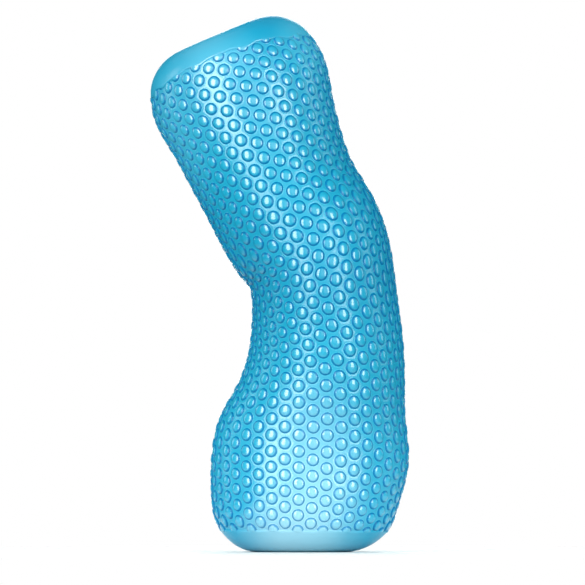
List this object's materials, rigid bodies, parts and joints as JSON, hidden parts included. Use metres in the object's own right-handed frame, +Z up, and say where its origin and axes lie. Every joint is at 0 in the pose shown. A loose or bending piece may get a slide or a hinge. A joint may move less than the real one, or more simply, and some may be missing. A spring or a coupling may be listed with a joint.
{
  "type": "squeeze grip stress reliever",
  "caption": "Soft gel-filled rubber squeeze cylinder, studded round the side with smooth rounded ends, pinched and bent as in a gripping hand; a stress reliever and hand exerciser.",
  "frame": {"origin": "middle of the flat face of the lower end cap, which the cylinder stands on", "axes": "+Z up along the cylinder's length, +X across it in the plane of its bend (the top leans towards -X), -Y the side that faces the viewer"},
  "size_m": [0.0717, 0.059, 0.149],
  "materials": {
    "studded_rubber": "translucent sky-blue soft rubber, glossy, moulded with raised round studs",
    "smooth_rubber": "translucent sky-blue soft rubber, smooth and glossy",
    "gel": "clear pale blue gel"
  },
  "bodies": {
    "base": {"lower_end_cap": "smooth_rubber", "sleeve_1": "studded_rubber", "gel_1": "gel"},
    "lower_waist": {"sleeve_2": "studded_rubber", "gel_2": "gel"},
    "upper_waist": {"sleeve_3": "studded_rubber", "gel_3": "gel"},
    "shoulder": {"sleeve_4": "studded_rubber", "gel_4": "gel"},
    "head": {"sleeve_5": "studded_rubber", "gel_5": "gel", "upper_end_cap": "smooth_rubber"}
  },
  "joints": [
    {"name": "lower_bend", "type": "hinge", "parent": "base", "child": "lower_waist", "pos_m": [0.00426, 0, 0.03568], "axis": [0, -1, 0], "range_deg": [-12, 12], "stiffness_Nm_per_rad": 1.8, "springref_deg": -3},
    {"name": "waist_twist", "type": "hinge", "parent": "lower_waist", "child": "upper_waist", "pos_m": [0.00698, 0, 0.05847], "axis": [-0.007, 0, 1], "range_deg": [-15, 15], "stiffness_Nm_per_rad": 0.8},
    {"name": "upper_bend", "type": "hinge", "parent": "upper_waist", "child": "shoulder", "pos_m": [0.00321, 0, 0.08401], "axis": [0, -1, 0], "range_deg": [-24, 12], "stiffness_Nm_per_rad": 1.5, "springref_deg": -21},
    {"name": "side_bend", "type": "hinge", "parent": "shoulder", "child": "head", "pos_m": [-0.01006, 0, 0.10975], "axis": [0.9258, 0, 0.3781], "range_deg": [-12, 12], "stiffness_Nm_per_rad": 1.5}
  ]
}
